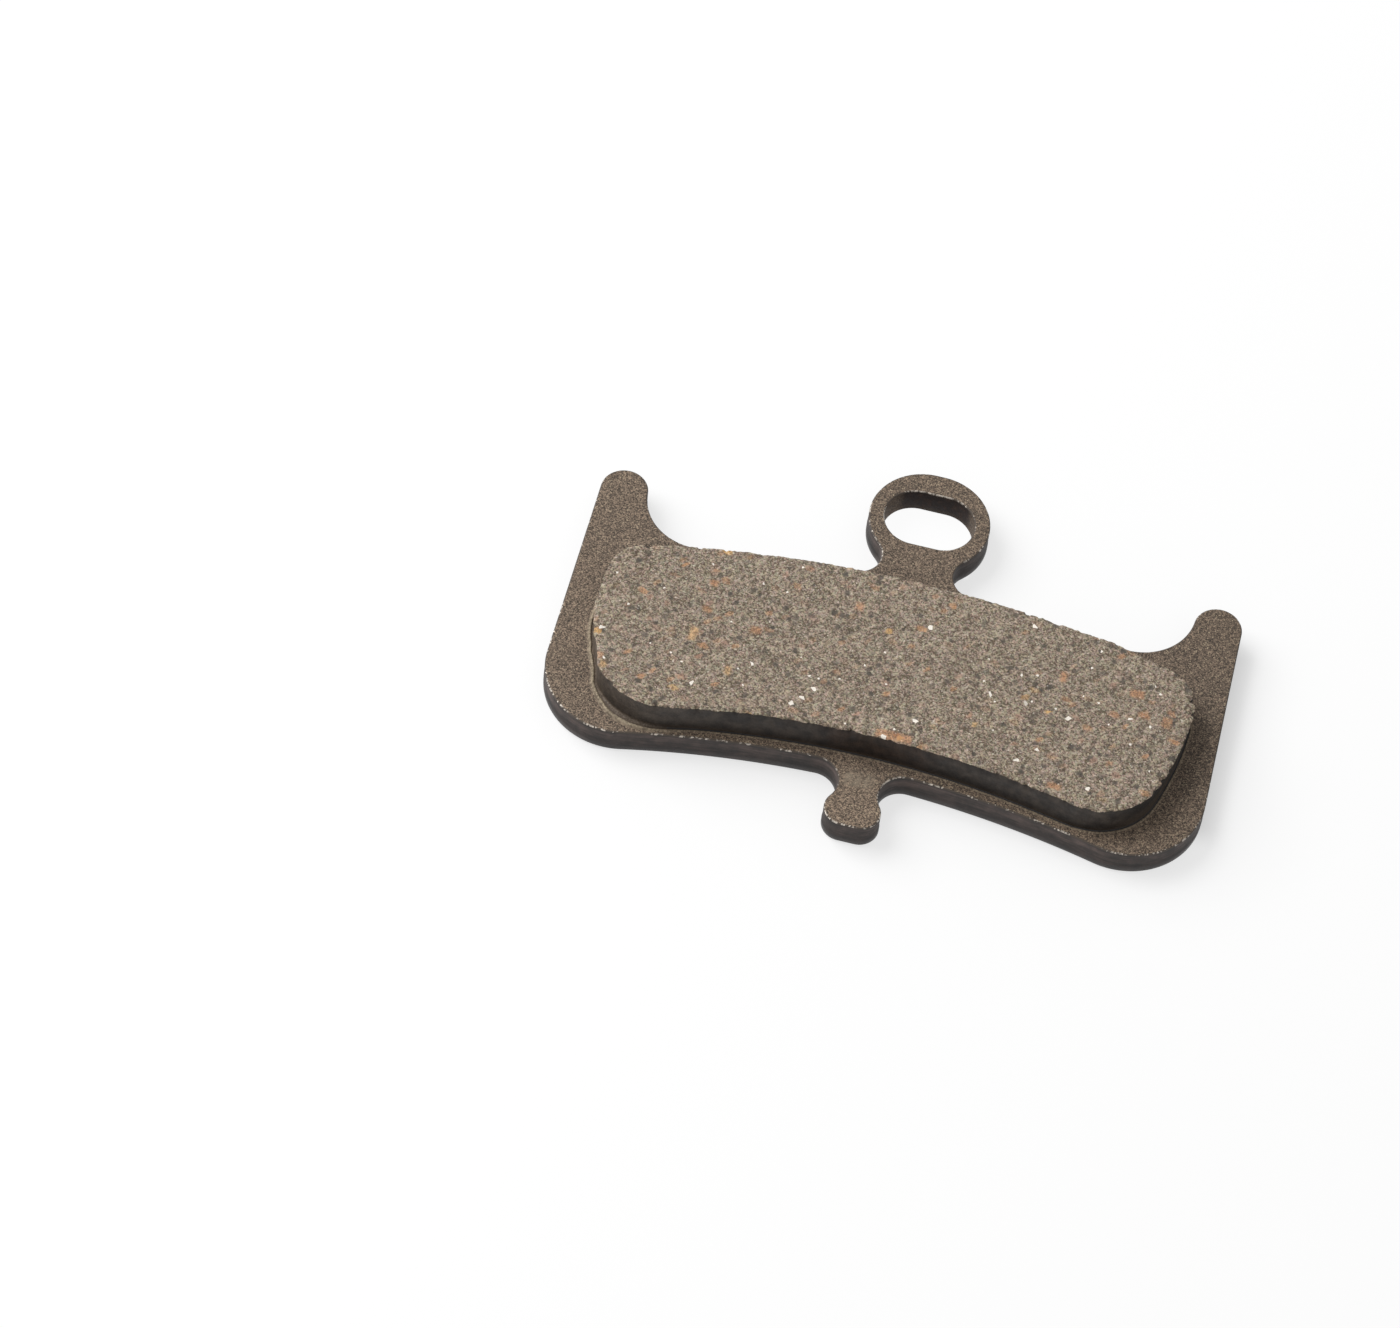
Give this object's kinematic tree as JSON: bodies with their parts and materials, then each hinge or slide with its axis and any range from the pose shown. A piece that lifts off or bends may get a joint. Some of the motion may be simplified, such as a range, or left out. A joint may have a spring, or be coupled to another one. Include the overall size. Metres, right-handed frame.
{
  "type": "bicycle disc brake pad",
  "caption": "Bicycle disc brake pad: blanked steel backing plate with a slotted pin eye, ears and a tab, carrying an arched band of moulded friction material.",
  "frame": {"origin": "middle of the retaining pin's slot, at the plate's back face", "axes": "+Z out of the back face towards the disc, along the retaining pin; +Y from the plate up to the pin eye; +X along the pad's width"},
  "size_m": [0.043, 0.0285, 0.0042],
  "materials": {
    "coated_steel": "satin black coat on the back and the edges, bare grey-brown blasted steel on the friction side",
    "friction_material": "matte ground composite of grey binder, dark grains and copper and brass chips, black on its sides"
  },
  "bodies": {
    "root": {"backing_plate": "coated_steel", "friction_lining": "friction_material"}
  },
  "joints": []
}
